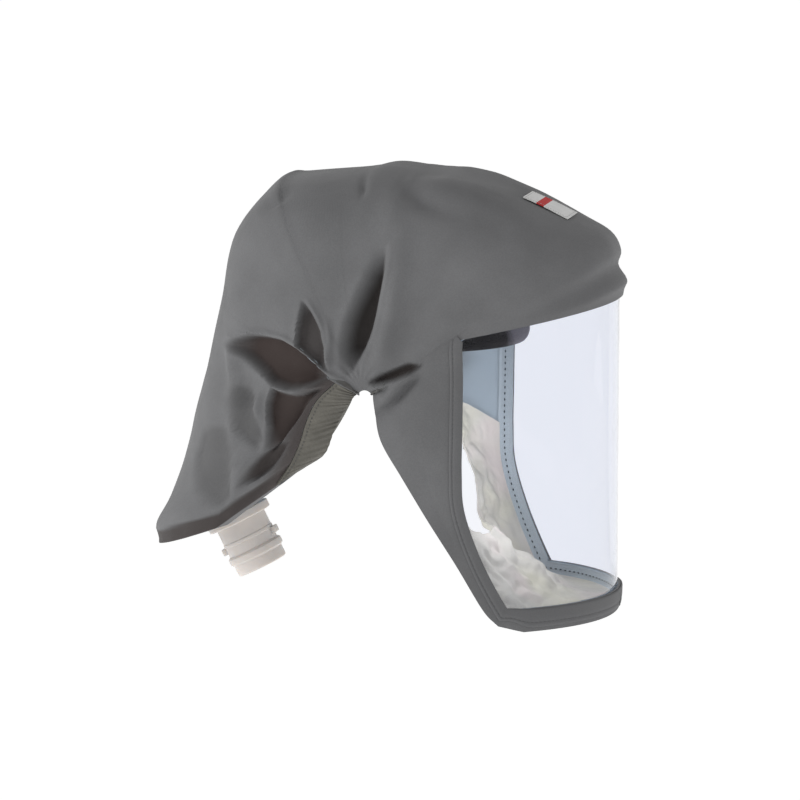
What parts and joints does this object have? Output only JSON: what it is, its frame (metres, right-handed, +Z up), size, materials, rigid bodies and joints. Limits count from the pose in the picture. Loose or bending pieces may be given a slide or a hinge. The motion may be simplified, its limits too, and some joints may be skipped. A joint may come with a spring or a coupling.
{
  "type": "respirator head cover",
  "caption": "Soft grey respirator hood with a clear wrap-round visor, cream face seal, padded headband inside, flared back bag and a tilted air hose connector.",
  "frame": {"origin": "head seat: the middle of the headband, level with the wearer's brow", "axes": "+X the way the wearer faces, +Y the wearer's left, +Z up"},
  "size_m": [0.3324, 0.225, 0.3093],
  "materials": {
    "hood_cloth": "grey coated woven cloth, soft sheen",
    "hem_cloth": "darker grey cloth binding with a stitched seam",
    "clear_sheet": "clear flexible plastic sheet",
    "tape_cloth": "matt blue-grey woven tape",
    "seal_cloth": "thin cream cloth, soft crumples",
    "cuff_cloth": "olive-grey elastic casing",
    "dark_plastic": "matt moulded plastic",
    "pad_cloth": "black soft padded cloth",
    "milky_plastic": "warm off-white translucent moulded plastic",
    "label_cloth": "plain white woven patch"
  },
  "bodies": {
    "root": {"hood_shell": "hood_cloth", "visor_hem": "hem_cloth", "visor": "clear_sheet", "seam_tape": "tape_cloth", "face_seal": "seal_cloth", "neck_cuff_right": "cuff_cloth", "neck_cuff_left": "cuff_cloth", "headband": "dark_plastic", "brow_pad": "pad_cloth", "air_connector": "milky_plastic", "air_duct": "dark_plastic", "label_patch": "label_cloth"}
  },
  "joints": []
}
